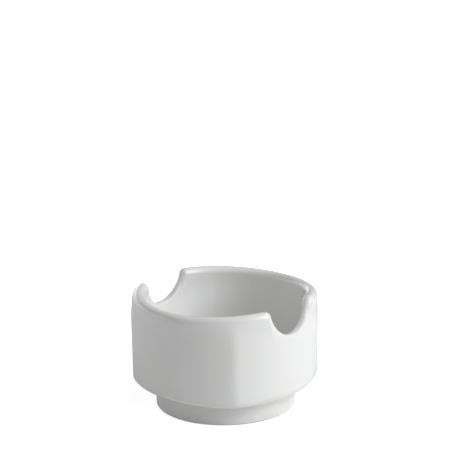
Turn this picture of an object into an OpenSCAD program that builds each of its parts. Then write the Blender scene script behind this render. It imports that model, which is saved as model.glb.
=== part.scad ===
/* [Body] */
// Width of the body over two opposite walls
across_flats = 76.8; // [70:0.2:84]
// Radius of each bowed wall, seen from above
side_r = 51; // [44:0.5:64]
// Radius of the upright corners, seen from above
corner_r = 10; // [6:0.5:14]
// Height from the table to the top of the rim
height = 52; // [46:1:70]
// Thickness of the wall at the middle of a side
wall_t = 3.1; // [2.6:0.1:4]
// Radius of the bottom edge of the body
body_edge_r = 3.2; // [1.5:0.1:4]
// How far the walls lean in from the rim's blend down to the bottom edge
wall_draft = 0.3; // [0:0.05:0.8]

/* [Rim] */
// How far the rim stands out past the flats
rim_flare = 1.7; // [0.4:0.1:3]
// Thickness of the rounded lip
lip_t = 5.3; // [4.2:0.1:6]
// How much lower the rim lies over the plain sides than over the notched ones
rim_dip = 1.5; // [0:0.1:3]
// Height over which the square wall turns into the rounder rim
blend_h = 9; // [5:0.5:14]
// Height over which the cavity's wall closes in under the lip
bead_h = 5; // [3:0.5:5]
// How square the rim still is, as a share of the body
rim_square_share = 0.14; // [0:0.02:0.6]

/* [Notches] */
// Depth of the two finger notches below the rim
notch_depth = 13; // [12:0.5:17]
// Radius of the bottom of a notch
notch_bottom_r = 11.5; // [9:0.5:13]
// Depth of the rounding along the edge of a notch
notch_edge_r = 1.1; // [0.7:0.1:1.5]
// How flat the edge of a notch is across the wall, from a half round (0) to square (1)
notch_flat_share = 0.5; // [0:0.05:0.8]
// Radius of the shoulders where a notch meets the rim
notch_shoulder_r = 2.8; // [2:0.2:5]
// Steepness of the sides of a notch, in degrees
notch_slope = 69; // [58:1:72]
// How much of a notch's depth the lip takes to thin down to the notch's edge, as a share
notch_blend_share = 0.85; // [0.3:0.05:1]
// How far both notches sit off the middle of their sides, towards -X
notch_shift = 0.8; // [0:0.1:1.5]

/* [Cavity] */
// Thickness of the floor
floor_t = 5.5; // [4:0.5:8]
// Radius between the floor and the wall, inside
floor_fillet_r = 9; // [5:0.5:12]
// How far the cavity narrows from its upper wall down to the floor
cavity_draft = 0.8; // [0:0.1:2]

/* [Foot] */
// How far the round foot is set in from the middle of the walls
foot_inset = 7.8; // [6.4:0.1:11]
// Height of the body's underside above the table
foot_h = 10.4; // [9:0.1:14]
// How far the foot widens on its way up, at its radius
foot_flare = 0.3; // [0:0.1:1]
// Radius of the foot's outer edge at the table
foot_edge_r = 0.8; // [0.6:0.1:2]
// Radius of the hollow between the foot and the body
foot_fillet_r = 1.8; // [1:0.1:2.5]
// Width of the foot's ring, from its outer wall to the recess
foot_ring_w = 4.6; // [3.8:0.1:7]
// Depth of the recess under the floor
recess_h = 3.5; // [2:0.1:3.8]
// Radius of the ring's inner edge at the table
recess_edge_r = 0.8; // [0.4:0.1:1.2]
// Slope of the recess wall, as its run inwards
recess_run = 1.5; // [0.5:0.1:3]

/* [Glaze] */
// Thickness of the glaze
glaze_t = 0.3; // [0.1:0.05:0.5]

/* [Hidden] */

// Heights and radii that follow from the sizes above
body_r = across_flats / 2;
foot_r = body_r - foot_inset;
lip_r = lip_t / 2;
edge_top = foot_h + body_edge_r;
blend_from = height - lip_r - blend_h;
floor_z = recess_h + floor_t;
fillet_top = floor_z + floor_fillet_r;
foot_top_r = foot_r + foot_flare;
recess_r = foot_r - foot_ring_w;
// How far the table cut runs past the solid that it cuts
overrun = 1;

// Seen from above, each side is an arc of radius side_r about a point side_shift behind the middle,
// and each corner is an arc of corner_r about a point corner_at along both axes
side_shift = side_r - body_r;
corner_reach = side_r - corner_r;
corner_at = (sqrt(2 * corner_reach * corner_reach - side_shift * side_shift) - side_shift) / 2;
side_turn = atan2(corner_at, corner_at + side_shift);

// Half the width of a notch at the rim, and the steps of its outline from the middle outwards
flank_run = notch_depth - (notch_bottom_r + notch_shoulder_r) * (1 - cos(notch_slope));
bottom_half = notch_bottom_r * sin(notch_slope);
flank_half = bottom_half + flank_run / tan(notch_slope);
notch_half = flank_half + notch_shoulder_r * sin(notch_slope);

// Directions of the columns of points over a quarter turn, from the middle of a notched side (0)
// to the middle of a plain side (90)
notch_steps = 9;
shoulder_steps = 2;
corner_steps = 4;
plain_steps = 4;
rim_mid_r = body_r + rim_flare - lip_r + rim_square_share * side_shift;
corner_turn = 90 - side_turn;
notch_turn = min(asin(min(notch_half / rim_mid_r, sin(side_turn))), side_turn - 1);
quarter = concat(
    [for (i = [0 : notch_steps - 1]) notch_turn * i / notch_steps],
    [for (i = [0 : shoulder_steps - 1]) notch_turn + (side_turn - notch_turn) * i / shoulder_steps],
    [for (i = [0 : corner_steps - 1]) side_turn + (corner_turn - side_turn) * i / corner_steps],
    [for (i = [0 : plain_steps]) corner_turn + (90 - corner_turn) * i / plain_steps]
);
quarter_n = len(quarter) - 1;
turns = [for (side = [0, 1], back = [0, 1], i = [0 : quarter_n - 1])
    back == 0 ? 90 + 180 * side + quarter[i] : 270 + 180 * side - quarter[quarter_n - i]];
columns = len(turns);

// Smooth step from 0 to 1
function ease(x) = let (u = max(0, min(1, x))) u * u * (3 - 2 * u);
function mix(a, b, u) = a + (b - a) * u;

// How far the rounded-square plan lies off a circle of body_r, in the direction turn
function corner_offset(turn) =
    let (
        side = 90 * round(turn / 90),
        off = turn - side,
        across = abs(off) <= side_turn,
        along = across ? side_shift * (cos(off) - 1) : corner_at + (corner_r - body_r) * cos(off),
        aside = across ? side_shift * sin(off) : sign(off) * corner_at + (corner_r - body_r) * sin(off)
    )
    [along * cos(side) - aside * sin(side), along * sin(side) + aside * cos(side)];

// A point at radius r and height z, pulled to the rounded square by the share square
function at(turn, r, square, z) =
    let (pull = corner_offset(turn) * square)
    [r * cos(turn) + pull.x, r * sin(turn) + pull.y, z];

// Radius and squareness of the wall's two faces at a height
function rimward(z) = ease((z - blend_from) / blend_h);
function beadward(z) = ease((z - blend_from - blend_h + bead_h) / bead_h);
function upward(z) = max(0, min(1, (z - edge_top) / (blend_from - edge_top)));
function outer_r(z) = body_r + rim_flare * rimward(z) - wall_draft * (1 - upward(z));
function outer_square(z) = mix(1, rim_square_share, rimward(z));
function inner_r(z) =
    let (narrow = cavity_draft * (1 - max(0, min(1, (z - fillet_top) / (blend_from - fillet_top)))))
    mix(body_r - wall_t - narrow, body_r + rim_flare - lip_t, beadward(z));
function inner_square(z) = rim_square_share * ease((z - fillet_top) / (blend_from - fillet_top));

// The middle of the wall, and the notch outline at a distance from its middle: how far it drops below
// the rim, and the sine of its slope; then the distance of a point from the middle of its notch
function wall_mid(turn, z) =
    (at(turn, outer_r(z), outer_square(z), z) + at(turn, inner_r(z), inner_square(z), z)) / 2;
function notch_drop(x) =
    x <= bottom_half ? notch_depth - notch_bottom_r + sqrt(notch_bottom_r * notch_bottom_r - x * x)
    : x <= flank_half ? notch_shoulder_r * (1 - cos(notch_slope)) + (flank_half - x) * tan(notch_slope)
    : x < notch_half ? notch_shoulder_r - sqrt(notch_shoulder_r * notch_shoulder_r - pow(notch_half - x, 2))
    : 0;
function notch_lean(x) =
    x <= bottom_half ? x / notch_bottom_r
    : x <= flank_half ? sin(notch_slope)
    : max(notch_half - x, 0) / notch_shoulder_r;
function notch_off(point) = abs(point.x + notch_shift);
function rim_z(turn) = height - rim_dip * (1 + cos(2 * turn)) / 2;

// Top of the wall in a direction, found by halving the height range that holds it
halvings = 24;
function halve(turn, low, high, left) =
    let (z = (low + high) / 2, top = rim_z(turn) - notch_drop(notch_off(wall_mid(turn, z - lip_r))))
    left == 0 ? z : z < top ? halve(turn, z, high, left - 1) : halve(turn, low, z, left - 1);
tops = [for (turn = turns) halve(turn, edge_top + lip_r, height, halvings)];

// How far each direction lies in the notch, and the height of the rounding over the wall there
beside = [for (i = [0 : columns - 1]) notch_off(wall_mid(turns[i], tops[i] - lip_r))];
notched = [for (x = beside) ease(notch_drop(x) / (notch_depth * notch_blend_share))];
rises = [for (i = [0 : columns - 1])
    mix(lip_r, notch_edge_r, notched[i]) / sqrt(1 - pow(notch_lean(beside[i]), 2))];
function boxy(i, a) = mix(1, 1 / max(abs(cos(a)), abs(sin(a))), notched[i] * notch_flat_share);

// Shares of the way up the wall at which it has a ring of points
outer_shares = [0.35, 0.65, 0.76, 0.83, 0.9, 0.95];
inner_shares = [0.95, 0.9, 0.83, 0.76, 0.6, 0.3];

// Angle around the foot's edge at which the glaze ends, and how square the body's bottom edge is
glaze_line = -50;
edge_square_share = 0.8;

// One column of points, from the glaze line at the foot over the lip to the edge of the floor, set in
// from the glazed surface by inset
function outside_column(i, inset) =
    let (
        turn = turns[i],
        lip_z = tops[i] - rises[i],
        start = at(turn, outer_r(lip_z) - inset, outer_square(lip_z), 0),
        end = at(turn, inner_r(lip_z) + inset, inner_square(lip_z), 0),
        foot_edge_at = foot_r - foot_edge_r,
        hollow_at = foot_top_r + foot_fillet_r,
        hollow_z = foot_h - foot_fillet_r,
        wall_at = outer_r(edge_top) - body_edge_r,
        fillet_at = inner_r(fillet_top) - floor_fillet_r
    )
    concat(
        [for (a = [glaze_line, glaze_line / 2, 0]) let (r = foot_edge_r - inset)
            at(turn, foot_edge_at + r * cos(a), 0, foot_edge_r + r * sin(a))],
        [for (a = [180, 135, 90]) let (r = foot_fillet_r + inset)
            at(turn, hollow_at + r * cos(a), 0, hollow_z + r * sin(a))],
        [for (a = [-90 : 18 : 0]) let (r = body_edge_r - inset)
            at(turn, wall_at + r * cos(a), mix(edge_square_share, 1, 1 + a / 90), edge_top + r * sin(a))],
        [for (share = outer_shares) let (z = mix(edge_top, lip_z, share))
            at(turn, outer_r(z) - inset, outer_square(z), z)],
        [for (a = [0 : 22.5 : 180])
            let (middle = (start + end) / 2, reach = boxy(i, a) * (start - end) / 2)
            middle + reach * cos(a) + [0, 0, lip_z + (rises[i] - inset) * boxy(i, a) * sin(a)]],
        [for (share = inner_shares) let (z = mix(fillet_top, lip_z, share))
            at(turn, inner_r(z) + inset, inner_square(z), z)],
        [for (a = [0 : -18 : -90]) let (r = floor_fillet_r + inset, z = fillet_top + r * sin(a))
            at(turn, fillet_at + r * cos(a), inner_square(z + inset), z)]
    );

// One column of points under the foot, from the glaze line at the ring's inner edge to the middle
function recess_column(i, inset) =
    let (
        turn = turns[i],
        edge_at = recess_r + recess_edge_r,
        fillet_at = recess_r - recess_run - recess_edge_r
    )
    concat(
        [for (a = [180 - glaze_line, 180]) let (r = recess_edge_r - inset)
            at(turn, edge_at + r * cos(a), 0, recess_edge_r + r * sin(a))],
        [for (a = [0, 45, 90]) let (r = recess_edge_r + inset)
            at(turn, fillet_at + r * cos(a), 0, recess_h - recess_edge_r + r * sin(a))]
    );

// Turns columns of points into rings, level by level
function rings(cols) = [for (level = [0 : len(cols[0]) - 1]) [for (col = cols) col[level]]];
function flipped(list) = [for (i = [len(list) - 1 : -1 : 0]) list[i]];
function ring_at(r, z) = [for (turn = turns) at(turn, r, 0, z)];

// A closed skin over a stack of rings, with a point at each end
module skin(first, stack, last, inside_out = false) {
    count = len(stack);
    points = concat([first], [for (ring = stack) each ring], [last]);
    end = len(points) - 1;
    faces = concat(
        [for (i = [0 : columns - 1]) [0, 1 + i, 1 + (i + 1) % columns]],
        [for (level = [0 : count - 2], i = [0 : columns - 1], half = [0, 1])
            let (
                low = 1 + level * columns + i,
                low_next = 1 + level * columns + (i + 1) % columns,
                high = low + columns,
                high_next = low_next + columns
            )
            half == 0 ? [low, high_next, low_next] : [low, high, high_next]],
        [for (i = [0 : columns - 1])
            [end, 1 + (count - 1) * columns + (i + 1) % columns, 1 + (count - 1) * columns + i]]
    );
    polyhedron(points, inside_out ? [for (face = faces) flipped(face)] : faces);
}

outside_clay = rings([for (i = [0 : columns - 1]) outside_column(i, glaze_t)]);
outside_glaze = rings([for (i = [0 : columns - 1]) outside_column(i, 0)]);
recess_clay = rings([for (i = [0 : columns - 1]) recess_column(i, glaze_t)]);
recess_glazed = rings([for (i = [0 : columns - 1]) recess_column(i, 0)]);

// Fired clay: foot ring, floor, wall and lip in one casting, ground flat and bare where it rests
module porcelain_body() {
    below = overrun / 2;
    color("linen")
    difference() {
        skin(
            [0, 0, recess_h + glaze_t],
            concat(
                flipped(recess_clay),
                [ring_at(recess_r + recess_edge_r + below, -below)],
                [ring_at(foot_r - foot_edge_r - below, -below)],
                outside_clay
            ),
            [0, 0, floor_z - glaze_t]
        );
        translate([0, 0, -overrun])
        cylinder(r = foot_r, h = overrun);
    }
}

// White glaze over the outside, the lip and the cavity, down to the glaze line at the foot
module outer_glaze() {
    color("white")
    skin(
        [0, 0, floor_z],
        concat(flipped(outside_glaze), outside_clay),
        [0, 0, floor_z - glaze_t],
        true
    );
}

// The same glaze inside the foot ring, under the floor
module recess_glaze() {
    color("white")
    skin(
        [0, 0, recess_h + glaze_t],
        concat(flipped(recess_clay), recess_glazed),
        [0, 0, recess_h],
        true
    );
}

porcelain_body();
outer_glaze();
recess_glaze();
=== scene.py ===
import math

import bmesh
import bpy
from mathutils import Euler, Matrix, Vector


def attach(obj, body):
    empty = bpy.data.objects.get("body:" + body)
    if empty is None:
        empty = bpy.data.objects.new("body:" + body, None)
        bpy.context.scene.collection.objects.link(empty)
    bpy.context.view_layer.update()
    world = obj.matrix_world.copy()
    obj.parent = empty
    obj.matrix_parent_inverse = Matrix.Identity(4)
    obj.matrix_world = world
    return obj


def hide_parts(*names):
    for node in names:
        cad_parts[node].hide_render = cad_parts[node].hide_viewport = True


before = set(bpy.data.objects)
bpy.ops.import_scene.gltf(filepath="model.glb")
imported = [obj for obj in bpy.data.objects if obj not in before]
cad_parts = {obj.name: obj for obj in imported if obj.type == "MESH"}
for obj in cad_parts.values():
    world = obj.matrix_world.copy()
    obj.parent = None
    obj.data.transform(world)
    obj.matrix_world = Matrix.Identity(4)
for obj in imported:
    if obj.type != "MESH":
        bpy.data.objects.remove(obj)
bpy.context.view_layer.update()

# The holder's plan. Seen from above it has four bowed walls that meet in round corners, and it is
# drawn once, as a loop of eight arcs at the foot of the wall. The whole pot grows up and down from it.
wall_radius = 0.0384
side_radius = 0.051
corner_radius = 0.010
wall_foot = 0.0136
wall_lean = 0.0003
side_steps = 44
corner_steps = 8
side_shift = side_radius - wall_radius
corner_reach = side_radius - corner_radius
corner_at = (math.sqrt(2 * corner_reach ** 2 - side_shift ** 2) - side_shift) / 2
side_turn = math.atan2(corner_at, corner_at + side_shift)


def arc(turn, steps, middle):
    """Carry the selected point round a centre, leaving a row of edges behind it."""
    bpy.ops.mesh.spin(steps=steps, angle=-turn, center=(middle[0], middle[1], wall_foot), axis=(0, 0, 1))


bpy.ops.object.select_all(action="DESELECT")
bpy.ops.mesh.primitive_plane_add(size=corner_radius)
pot = bpy.context.object
pot.name = "fired_body"
bpy.ops.object.mode_set(mode="EDIT")
bpy.ops.mesh.merge(type="CENTER")
first = (side_radius * math.cos(side_turn) - side_shift, -side_radius * math.sin(side_turn), wall_foot)
bpy.ops.transform.translate(value=first)
for wall in range(4):
    facing = Matrix.Rotation(math.radians(90 * wall), 2)
    arc(2 * side_turn, side_steps, facing @ Vector((-side_shift, 0)))
    arc(math.radians(90) - 2 * side_turn, corner_steps, facing @ Vector((corner_at, corner_at)))
bpy.ops.mesh.select_all(action="SELECT")
bpy.ops.mesh.remove_doubles(threshold=1e-5)

# The pot's wall and cavity. Clay cast in a mould: an upright wall, a lip that rounds over the top, a
# round cavity inside and a wide hollow down to the flat floor.
wall_thickness = 0.0031
lip_thickness = 0.0053
rim_height = 0.052
rim_dip = 0.0015
rim_flare = 0.0017
blend_height = 0.009
bead_height = 0.005
rim_square_share = 0.14
cavity_draft = 0.0008
floor_height = 0.009
floor_hollow = 0.009
lip_round = lip_thickness / 2
blend_from = rim_height - lip_round - blend_height
hollow_top = floor_height + floor_hollow
outer_rings = 14
lip_rings = 12
inner_rings = 12
hollow_rings = 8

outline = bmesh.from_edit_mesh(pot.data)
radii = [vert.co.xy.length for vert in outline.verts]
bulge = sum(radii) / len(radii) / wall_radius - 1
foot_half_width = wall_radius - wall_lean
lean = foot_half_width / wall_radius
bpy.ops.transform.resize(value=(lean, lean, 1), center_override=(0, 0, wall_foot))
loop = {"radius": foot_half_width, "height": wall_foot, "square": 1}


def ring(radius, height, square):
    """Extrude the selected loop to a new half width, height and squareness."""
    bpy.ops.mesh.extrude_edges_move(TRANSFORM_OT_translate={"value": (0, 0, height - loop["height"])})
    if square < loop["square"]:
        rounding = (loop["square"] - square) / (loop["square"] * (1 + square * bulge))
        bpy.ops.transform.tosphere(value=rounding)
        loop["radius"] *= 1 + rounding * loop["square"] * bulge
    grow = radius / loop["radius"]
    bpy.ops.transform.resize(value=(grow, grow, 1), center_override=(0, 0, height))
    loop.update(radius=radius, height=height, square=square)


def mark(share):
    """Note on the selected loop how far it lies along the wall, over the lip and down the cavity."""
    bpy.context.scene.tool_settings.vertex_group_weight = share
    bpy.ops.object.vertex_group_assign()


way = pot.vertex_groups.new(name="way")
lip_start = rim_height - lip_round
for step in range(1, outer_rings):
    ring(wall_radius, wall_foot + (lip_start - wall_foot) * step / outer_rings, 1)
    mark(step / outer_rings / 3)
lip_middle = wall_radius - wall_thickness / 2
for step in range(lip_rings + 1):
    turn = math.pi * step / lip_rings
    ring(lip_middle + wall_thickness / 2 * math.cos(turn), lip_start + lip_round * math.sin(turn), 1)
    mark((1 + step / lip_rings) / 3)
for step in range(1, inner_rings + 1):
    ring(wall_radius - wall_thickness, lip_start + (hollow_top - lip_start) * step / inner_rings, 1)
    mark((2 + step / inner_rings) / 3)
hollow_middle = wall_radius - wall_thickness - cavity_draft - floor_hollow
for step in range(1, hollow_rings + 1):
    turn = math.pi / 2 * step / hollow_rings
    ring(hollow_middle + floor_hollow * math.cos(turn), hollow_top - floor_hollow * math.sin(turn), 0)
    mark(0)
for share in (0.85, 0.6, 0.3, 0.1):
    ring(hollow_middle * share, floor_height, 0)
bpy.ops.mesh.extrude_edges_move()
bpy.ops.mesh.merge(type="CENTER")

# The pot's foot. Under the wall a rounded edge turns in to a flat underside, and a plain round foot
# drops from there to the table. It stands on a ring around a shallow recess.
edge_round = 0.0032
edge_square_share = 0.8
edge_rings = 8
underside = wall_foot - edge_round
foot_radius = 0.0306
foot_flare = 0.0003
foot_edge = 0.0008
foot_hollow = 0.0018
foot_hollow_rings = 6
ring_width = 0.0046
recess_height = 0.0035
recess_edge = 0.0008
recess_run = 0.0015
small_edge_rings = 4
glaze_line = math.radians(50)
recess_radius = foot_radius - ring_width
glaze_line_outside = foot_radius - foot_edge * (1 - math.cos(glaze_line))
glaze_line_inside = recess_radius + recess_edge * (1 - math.cos(glaze_line))

bpy.ops.mesh.select_all(action="DESELECT")
work = bmesh.from_edit_mesh(pot.data)
for vert in work.verts:
    vert.select = abs(vert.co.z - wall_foot) < 1e-6 and vert.co.xy.length > foot_half_width - 1e-6
work.select_flush_mode()
bmesh.update_edit_mesh(pot.data)
loop.update(radius=foot_half_width, height=wall_foot, square=1)
edge_middle = foot_half_width - edge_round
for step in range(1, edge_rings + 1):
    turn = math.pi / 2 * step / edge_rings
    square = 1 + (edge_square_share - 1) * step / edge_rings
    ring(edge_middle + edge_round * math.cos(turn), wall_foot - edge_round * math.sin(turn), square)
hollow_at = foot_radius + foot_flare + foot_hollow
ring((edge_middle + hollow_at) / 2, underside, edge_square_share / 2)
for step in range(foot_hollow_rings + 1):
    turn = math.pi / 2 * (1 + step / foot_hollow_rings)
    ring(hollow_at + foot_hollow * math.cos(turn), underside - foot_hollow * (1 - math.sin(turn)), 0)
for share in (0.75, 0.5, 0.25):
    ring(foot_radius + foot_flare * share, foot_edge + (underside - foot_hollow - foot_edge) * share, 0)
for step in range(small_edge_rings + 1):
    turn = glaze_line * step / small_edge_rings
    ring(foot_radius - foot_edge * (1 - math.cos(turn)), foot_edge * (1 - math.sin(turn)), 0)
ground_out = foot_radius - foot_edge
ground_in = recess_radius + recess_edge
for share in (0, 0.08, 0.5, 0.92, 1):
    ring(ground_out + (ground_in - ground_out) * share, 0, 0)
for step in range(small_edge_rings + 1):
    turn = glaze_line * (1 - step / small_edge_rings)
    ring(recess_radius + recess_edge * (1 - math.cos(turn)), recess_edge * (1 - math.sin(turn)), 0)
recess_top = recess_radius - recess_run
for step in range(small_edge_rings + 1):
    turn = math.pi / 2 * step / small_edge_rings
    rise = recess_height - recess_edge * (1 - math.sin(turn))
    ring(recess_top - recess_edge * (1 - math.cos(turn)), rise, 0)
for share in (0.8, 0.5, 0.2):
    ring(recess_top * share, recess_height, 0)
bpy.ops.mesh.extrude_edges_move()
bpy.ops.mesh.merge(type="CENTER")
bpy.ops.mesh.select_all(action="SELECT")
bpy.ops.mesh.normals_make_consistent(inside=False)
bpy.ops.object.mode_set(mode="OBJECT")

# The lip and the finger notches. The mould shapes the top of the wall, and it is smoothed while damp:
# it flares and goes round, dips over the plain walls, and has a U-shaped notch in each of the other two.
notch_depth = 0.013
notch_bottom = 0.0115
notch_shoulder = 0.0028
notch_edge = 0.0011
notch_flat_share = 0.5
notch_slope = math.radians(69)
notch_blend_share = 0.85
notch_shift = 0.0008
flank_run = notch_depth - (notch_bottom + notch_shoulder) * (1 - math.cos(notch_slope))
bottom_half = notch_bottom * math.sin(notch_slope)
flank_half = bottom_half + flank_run / math.tan(notch_slope)
notch_half = flank_half + notch_shoulder * math.sin(notch_slope)


def mix(low, high, share):
    """A value part of the way between two others."""
    return low + (high - low) * share


def ease(share):
    """A share from 0 to 1 that starts and ends softly."""
    share = min(max(share, 0), 1)
    return share * share * (3 - 2 * share)


def notch_drop(across):
    """How far the notch lies below the rim at a distance from its middle."""
    if across <= bottom_half:
        return notch_depth - notch_bottom + math.sqrt(notch_bottom ** 2 - across ** 2)
    if across <= flank_half:
        return notch_shoulder * (1 - math.cos(notch_slope)) + (flank_half - across) * math.tan(notch_slope)
    if across < notch_half:
        return notch_shoulder - math.sqrt(notch_shoulder ** 2 - (notch_half - across) ** 2)
    return 0


def notch_lean(across):
    """Sine of the slope of the notch's outline at a distance from its middle."""
    if across <= bottom_half:
        return across / notch_bottom
    if across <= flank_half:
        return math.sin(notch_slope)
    return max(notch_half - across, 0) / notch_shoulder


def outside(height):
    """Half width and squareness of the wall's outer face."""
    rimward = ease((height - blend_from) / blend_height)
    lean = wall_lean * (1 - min(max((height - wall_foot) / (blend_from - wall_foot), 0), 1))
    return wall_radius + rim_flare * rimward - lean, mix(1, rim_square_share, rimward)


def inside(height):
    """Half width and squareness of the cavity."""
    rimward = ease((height - blend_from - blend_height + bead_height) / bead_height)
    narrow = cavity_draft * (1 - min(max((height - hollow_top) / (blend_from - hollow_top), 0), 1))
    radius = mix(wall_radius - wall_thickness - narrow, wall_radius + rim_flare - lip_thickness, rimward)
    return radius, rim_square_share * ease((height - hollow_top) / (blend_from - hollow_top))


for vert in pot.data.vertices:
    place = sum(group.weight for group in vert.groups) * 3
    if place == 0:
        continue
    lip_turn = math.pi * min(max(place - 1, 0), 1)
    bow = vert.co.xy.length / (lip_middle + wall_thickness / 2 * math.cos(lip_turn)) - 1
    heading = vert.co.xy.normalized()
    top = rim_height - rim_dip * heading.x ** 2
    lip_z = top - lip_round
    for _ in range(8):
        outer, inner = outside(lip_z), inside(lip_z)
        middle = (outer[0] * (1 + outer[1] * bow) + inner[0] * (1 + inner[1] * bow)) / 2
        across = abs(heading.x * middle + notch_shift)
        drop = notch_drop(across)
        notched = ease(drop / (notch_depth * notch_blend_share))
        lip_rise = mix(lip_round, notch_edge, notched) / math.sqrt(1 - notch_lean(across) ** 2)
        lip_z = mix(lip_z, top - drop - lip_rise, 0.7)
    if place < 1:
        vert.co.z = mix(wall_foot, lip_z, place)
        radius, square = outside(vert.co.z)
        reach = radius * (1 + square * bow)
    elif place <= 2:
        along, up = math.cos(lip_turn), math.sin(lip_turn)
        boxy = mix(1, 1 / max(abs(along), up), notched * notch_flat_share)
        vert.co.z = lip_z + lip_rise * up * boxy
        outer_reach = outer[0] * (1 + outer[1] * bow)
        inner_reach = inner[0] * (1 + inner[1] * bow)
        reach = mix(inner_reach, outer_reach, (1 + along * boxy) / 2)
    else:
        vert.co.z = mix(lip_z, hollow_top, place - 2)
        radius, square = inside(vert.co.z)
        reach = radius * (1 + square * bow)
    vert.co.xy = heading * reach
pot.vertex_groups.clear()
pot.data.update()
bpy.ops.object.shade_smooth()

# The white glaze. A glassy coat dipped over the whole pot before the last firing: it thins over the lip
# and the edges, gathers in the hollows, and is wiped off the ring that stands in the kiln. Its darker
# colour over the lip and edges is partly that thin glaze and partly painted shade on the crests.
coat_thickness = 0.0003
edge_bend = (-100, -420)
hollow_bend = (40, 280)
glaze_white = (0.80, 0.793, 0.765, 1)
glaze_cool = (0.79, 0.792, 0.785, 1)
# Darker lip and edge colour: partly thin glaze, partly painted shade on the crests.
thin_glaze_and_painted_shade = (0.70, 0.68, 0.64, 1)
glaze_pooled = (0.755, 0.775, 0.765, 1)
pinhole_brown = (0.46, 0.40, 0.33, 1)
glaze_roughness = (0.06, 0.14)
glaze_index = 1.5
cloud_scale = 38
thin_and_shade_scale = 210
dull_scale = 150
wave_scale = 65
wave_height = 0.00004
peel_scale = 1100
peel_height = 0.0000012
pinhole_scale = 260
pinhole_width = 0.045
pinhole_rarity = 0.86


def pick(piece):
    """Select a piece alone and make it the active one."""
    bpy.ops.object.select_all(action="DESELECT")
    piece.select_set(True)
    bpy.context.view_layer.objects.active = piece


def on_ring(vert):
    """Whether a vertex lies on the bare ring, between the two lines where the glaze ends."""
    across = vert.co.xy.length
    low = vert.co.z < foot_edge * (1 - math.sin(glaze_line)) + 1e-6
    return low and glaze_line_inside - 1e-6 < across < glaze_line_outside + 1e-6


pot.data.attributes.new("bend", "FLOAT", "POINT")
work = bmesh.new()
work.from_mesh(pot.data)
bend = work.verts.layers.float["bend"]
for vert in work.verts:
    steps = [edge.other_vert(vert).co - vert.co for edge in vert.link_edges]
    vert[bend] = sum(2 * step.dot(vert.normal) / step.length_squared for step in steps) / len(steps)
work.to_mesh(pot.data)
work.free()

pick(pot)
bpy.ops.object.duplicate()
bpy.ops.object.mode_set(mode="EDIT")
bpy.ops.mesh.select_all(action="DESELECT")
work = bmesh.from_edit_mesh(bpy.context.object.data)
for face in work.faces:
    face.select = all(on_ring(vert) for vert in face.verts)
bmesh.update_edit_mesh(bpy.context.object.data)
bpy.ops.mesh.delete(type="FACE")
bpy.ops.mesh.select_all(action="SELECT")
bpy.ops.mesh.separate(type="LOOSE")
bpy.ops.object.mode_set(mode="OBJECT")
coats = sorted(bpy.context.selected_objects, key=lambda coat: len(coat.data.vertices))


def join(tree, kind, sockets=None, **settings):
    """Add a shader node, set it, and fill or link its inputs by name or number."""
    made = tree.nodes.new("ShaderNode" + kind)
    for name, value in settings.items():
        setattr(made, name, value)
    for name, value in (sockets or {}).items():
        if isinstance(value, bpy.types.NodeSocket):
            tree.links.new(value, made.inputs[name])
        else:
            made.inputs[name].default_value = value
    return made


def tint(tree, share, low, high):
    """Mix two colours."""
    return join(tree, "Mix", {0: share, 6: low, 7: high}, data_type="RGBA").outputs[2]


def measure(tree, value, low, high):
    """Bring a value's range to run from 0 to 1."""
    return join(tree, "MapRange", {"Value": value, "From Min": low, "From Max": high}).outputs["Result"]


def figure(tree, operation, *values):
    """Work out one number from others."""
    return join(tree, "Math", dict(enumerate(values)), operation=operation).outputs[0]


def grain(tree, place, scale, detail=3):
    """Soft random patches at a number of patches to the metre."""
    return join(tree, "TexNoise", {"Vector": place, "Scale": scale, "Detail": detail}).outputs["Fac"]


pinholes = bpy.data.node_groups.new("kiln_pinholes", "ShaderNodeTree")
pinholes.interface.new_socket("Place", in_out="INPUT", socket_type="NodeSocketVector")
pinholes.interface.new_socket("Scale", in_out="INPUT", socket_type="NodeSocketFloat")
pinholes.interface.new_socket("Width", in_out="INPUT", socket_type="NodeSocketFloat")
pinholes.interface.new_socket("Rarity", in_out="INPUT", socket_type="NodeSocketFloat")
pinholes.interface.new_socket("Mask", in_out="OUTPUT", socket_type="NodeSocketFloat")
given = pinholes.nodes.new("NodeGroupInput")
spots = join(pinholes, "TexVoronoi", {"Vector": given.outputs["Place"], "Scale": given.outputs["Scale"]})
near = figure(pinholes, "LESS_THAN", spots.outputs["Distance"], given.outputs["Width"])
lot = join(pinholes, "SeparateColor", {"Color": spots.outputs["Color"]}).outputs["Red"]
kept = figure(pinholes, "GREATER_THAN", lot, given.outputs["Rarity"])
mask = figure(pinholes, "MULTIPLY", near, kept)
pinholes.links.new(mask, pinholes.nodes.new("NodeGroupOutput").inputs["Mask"])


def pinhole_mask(tree, place, scale, width, rarity):
    """Place the shared pinholes in a material."""
    holes = join(tree, "Group", node_tree=pinholes)
    tree.links.new(place, holes.inputs["Place"])
    for name, value in (("Scale", scale), ("Width", width), ("Rarity", rarity)):
        holes.inputs[name].default_value = value
    return holes.outputs["Mask"]


glaze = bpy.data.materials.new("white_gloss_glaze")
glaze.use_nodes = True
tree = glaze.node_tree
shader = tree.nodes["Principled BSDF"]
shader.inputs["IOR"].default_value = glaze_index
place = join(tree, "TexCoord").outputs["Object"]
curve = join(tree, "Attribute", attribute_name="bend").outputs["Fac"]
cloud = grain(tree, place, cloud_scale)
# Mask of the convex edges and lip where the colour darkens: partly thin glaze, partly painted shade.
thin_and_shaded_edge = measure(tree, curve, *edge_bend)
thin_and_shaded_edge = figure(tree, "MULTIPLY", thin_and_shaded_edge, measure(tree, grain(tree, place, thin_and_shade_scale), 0.25, 0.75))
pooled = measure(tree, curve, *hollow_bend)
colour = tint(tree, measure(tree, cloud, 0.35, 0.65), glaze_white, glaze_cool)
colour = tint(tree, pooled, colour, glaze_pooled)
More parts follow.
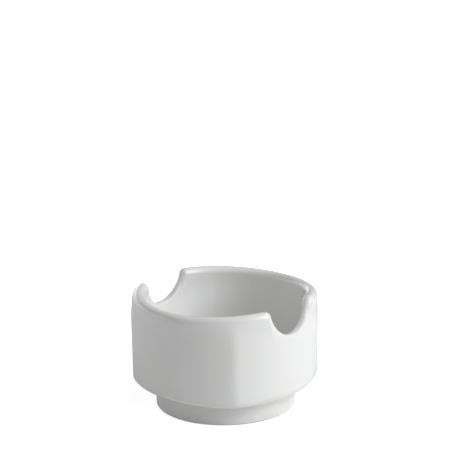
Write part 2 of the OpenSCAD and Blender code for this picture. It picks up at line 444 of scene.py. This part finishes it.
# Paints the lip and edges darker: thin glaze together with painted shade on the crests.
colour = tint(tree, thin_and_shaded_edge, colour, thin_glaze_and_painted_shade)
holes = pinhole_mask(tree, place, pinhole_scale, pinhole_width, pinhole_rarity)
colour = tint(tree, figure(tree, "MULTIPLY", holes, 0.5), colour, pinhole_brown)
tree.links.new(colour, shader.inputs["Base Color"])
dull = figure(tree, "MAXIMUM", measure(tree, grain(tree, place, dull_scale), 0.3, 0.8), thin_and_shaded_edge)
low, high = glaze_roughness
rough = join(tree, "MapRange", {"Value": dull, "To Min": low, "To Max": high}).outputs["Result"]
tree.links.new(rough, shader.inputs["Roughness"])
waves = figure(tree, "MULTIPLY", grain(tree, place, wave_scale, 1), wave_height)
peel = figure(tree, "MULTIPLY", grain(tree, place, peel_scale, 2), peel_height)
pits = figure(tree, "MULTIPLY", holes, -4 * peel_height)
height = figure(tree, "ADD", figure(tree, "ADD", waves, peel), pits)
bump = join(tree, "Bump", {"Height": height, "Distance": 1.0})
tree.links.new(bump.outputs["Normal"], shader.inputs["Normal"])

for coat, name, node in zip(coats, ("glaze_recess", "glaze_outside"), ("recess_glaze", "outer_glaze")):
    pick(coat)
    coat.name = name
    wall = coat.modifiers.new("thickness", "SOLIDIFY")
    wall.thickness = coat_thickness
    wall.offset = -1
    bpy.ops.object.modifier_apply(modifier=wall.name)
    coat.data.materials.append(glaze)
    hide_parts(node)
    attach(coat, "root")

# The fired clay. Slip-cast porcelain under the coat, left bare and ground flat on the ring that it stands
# on, where it is matt, faintly buff and a little rubbed by tables.
clay_buff = (0.70, 0.655, 0.585, 1)
clay_pale = (0.77, 0.735, 0.68, 1)
table_grey = (0.50, 0.475, 0.44, 1)
clay_roughness = (0.72, 0.92)
clay_grain_height = 0.000012
grit_scale = 2600
stain_scale = 320
rub_scale = 480
pit_scale = 700
pit_width = 0.1
pit_rarity = 0.6

pick(pot)
bpy.ops.object.mode_set(mode="EDIT")
bpy.ops.mesh.select_all(action="DESELECT")
work = bmesh.from_edit_mesh(pot.data)
for vert in work.verts:
    vert.select = vert.co.z > 1e-6
work.select_flush_mode()
bmesh.update_edit_mesh(pot.data)
bpy.ops.transform.shrink_fatten(value=-coat_thickness)
bpy.ops.object.mode_set(mode="OBJECT")

clay = bpy.data.materials.new("bare_fired_clay")
clay.use_nodes = True
tree = clay.node_tree
shader = tree.nodes["Principled BSDF"]
place = join(tree, "TexCoord").outputs["Object"]
grit = grain(tree, place, grit_scale, 5)
colour = tint(tree, measure(tree, grain(tree, place, stain_scale), 0.3, 0.7), clay_pale, clay_buff)
colour = tint(tree, measure(tree, grit, 0.62, 0.8), colour, pinhole_brown)
holes = pinhole_mask(tree, place, pit_scale, pit_width, pit_rarity)
colour = tint(tree, holes, colour, pinhole_brown)
rubbed = figure(tree, "MULTIPLY", measure(tree, grain(tree, place, rub_scale, 6), 0.5, 0.62), 0.6)
colour = tint(tree, rubbed, colour, table_grey)
tree.links.new(colour, shader.inputs["Base Color"])
low, high = clay_roughness
rough = join(tree, "MapRange", {"Value": rubbed, "To Min": high, "To Max": low}).outputs["Result"]
tree.links.new(rough, shader.inputs["Roughness"])
pits = figure(tree, "SUBTRACT", grit, figure(tree, "MULTIPLY", holes, 2.0))
bump = join(tree, "Bump", {"Height": pits, "Distance": clay_grain_height})
tree.links.new(bump.outputs["Normal"], shader.inputs["Normal"])
pot.data.materials.append(clay)
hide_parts("porcelain_body")
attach(pot, "root")

# The table. A wide sheet of matt white paper under the holder, which throws the lamps' light back up at
# the walls. To the camera it looks plain white, also where the lamps hardly reach, but for the soft
# shadow at the foot.
paper_width = 6
paper_white = (0.9, 0.9, 0.9, 1)
paper_grain = (0.88, 0.88, 0.88, 1)
paper_glow = 0.7
paper_near = 0.1
paper_far = 0.4
fibre_scale = 900

bpy.ops.object.select_all(action="DESELECT")
bpy.ops.mesh.primitive_plane_add(size=paper_width)
paper = bpy.context.object
paper.name = "paper"
sheet = bpy.data.materials.new("white_paper")
sheet.use_nodes = True
tree = sheet.node_tree
shader = tree.nodes["Principled BSDF"]
shader.inputs["Roughness"].default_value = 0.9
shader.inputs["Specular IOR Level"].default_value = 0
shader.inputs["Emission Color"].default_value = (1, 1, 1, 1)
place = join(tree, "TexCoord").outputs["Object"]
fibres = grain(tree, place, fibre_scale)
tree.links.new(tint(tree, fibres, paper_white, paper_grain), shader.inputs["Base Color"])
reach = join(tree, "VectorMath", {0: place}, operation="LENGTH").outputs["Value"]
beyond = measure(tree, reach, paper_near, paper_far)
glow = figure(tree, "MULTIPLY_ADD", beyond, 1 - paper_glow, paper_glow)
seen = figure(tree, "MULTIPLY", join(tree, "LightPath").outputs["Is Camera Ray"], glow)
tree.links.new(seen, shader.inputs["Emission Strength"])
paper.data.materials.append(sheet)

# The studio. A white room that gives the holder hardly any light. The key softbox stands to the right of
# the camera, a second one higher up on the right, a long low strip on the left, and a wide one overhead.
room_fill = 0.02
room_seen = 0.3
lamp_distance = 0.8
lamp_aim = Vector((0, 0, rim_height / 2))

room = bpy.data.worlds.new("white_room")
bpy.context.scene.world = room
room.use_nodes = True
tree = room.node_tree
path = join(tree, "LightPath")
mirrored = figure(tree, "MULTIPLY", path.outputs["Is Glossy Ray"], room_seen)
shown = figure(tree, "MAXIMUM", path.outputs["Is Camera Ray"], mirrored)
level = figure(tree, "MAXIMUM", shown, room_fill)
tree.links.new(level, tree.nodes["Background"].inputs["Strength"])
tree.nodes["Background"].inputs["Color"].default_value = (1, 1, 1, 1)


def softbox(name, azimuth, elevation, width, height, power, colour):
    """Stand a softbox in a direction from the holder, in degrees, facing it."""
    away = Euler((0, math.radians(-elevation), math.radians(azimuth))).to_matrix() @ Vector((1, 0, 0))
    bpy.ops.object.light_add(type="AREA", location=lamp_aim + lamp_distance * away)
    box = bpy.context.object
    box.name = name
    box.rotation_euler = (-away).to_track_quat("-Z", "Y").to_euler()
    box.data.shape = "RECTANGLE"
    box.data.size = width
    box.data.size_y = height
    box.data.energy = power
    box.data.color = colour


softbox("key", -80, 30, 0.5, 0.4, 4.1, (0.97, 0.985, 1))
softbox("side", -35, 48, 0.5, 0.4, 2.4, (0.97, 0.985, 1))
softbox("left_strip", 95, 13, 1.8, 0.4, 3.7, (0.98, 0.98, 1))
softbox("overhead", -150, 65, 1.3, 1.1, 2.2, (0.98, 0.98, 1))

# The camera. It stands at the left front corner, a little above the rim, with a long lens.
camera_place = Vector((-0.57870, -0.47766, 0.28179))
camera_tilt = Euler((math.radians(90 - 15.01), 0, math.radians(-50.5)))
camera_roll = Matrix.Rotation(math.radians(-0.62), 4, "Z")
camera_lens = 144
camera_sensor = 36

bpy.ops.object.camera_add()
camera = bpy.context.object
camera.matrix_world = Matrix.Translation(camera_place) @ camera_tilt.to_matrix().to_4x4() @ camera_roll
camera.data.lens = camera_lens
camera.data.sensor_width = camera_sensor
bpy.context.scene.camera = camera
bpy.context.scene.view_settings.view_transform = "Standard"
